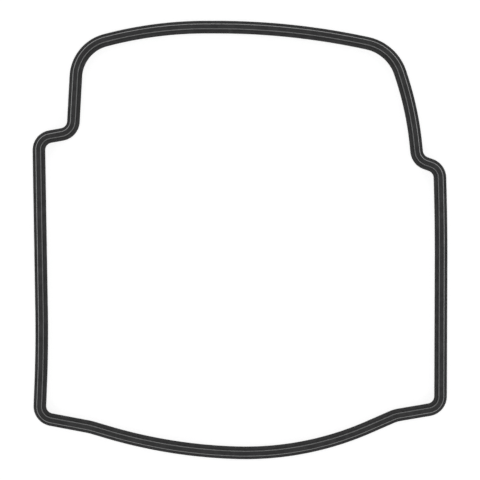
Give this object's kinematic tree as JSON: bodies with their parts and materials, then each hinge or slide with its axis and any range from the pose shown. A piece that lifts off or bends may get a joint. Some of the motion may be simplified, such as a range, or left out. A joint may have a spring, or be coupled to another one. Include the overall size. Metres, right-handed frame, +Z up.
{
  "type": "valve cover gasket",
  "caption": "Endless moulded rubber gasket that follows a valve cover's stepped outline, with a flat flange, a tongue for the cover's groove and low sealing beads.",
  "frame": {"origin": "middle of the outline's box, on the plane that the sealing beads rest on", "axes": "+Z up from the sealing beads to the tongue, +Y towards the arched end, +X towards the straighter long side"},
  "size_m": [0.237, 0.2504, 0.0076],
  "materials": {
    "gasket": "matt moulded"
  },
  "bodies": {
    "root": {"gasket": "gasket"}
  },
  "joints": []
}
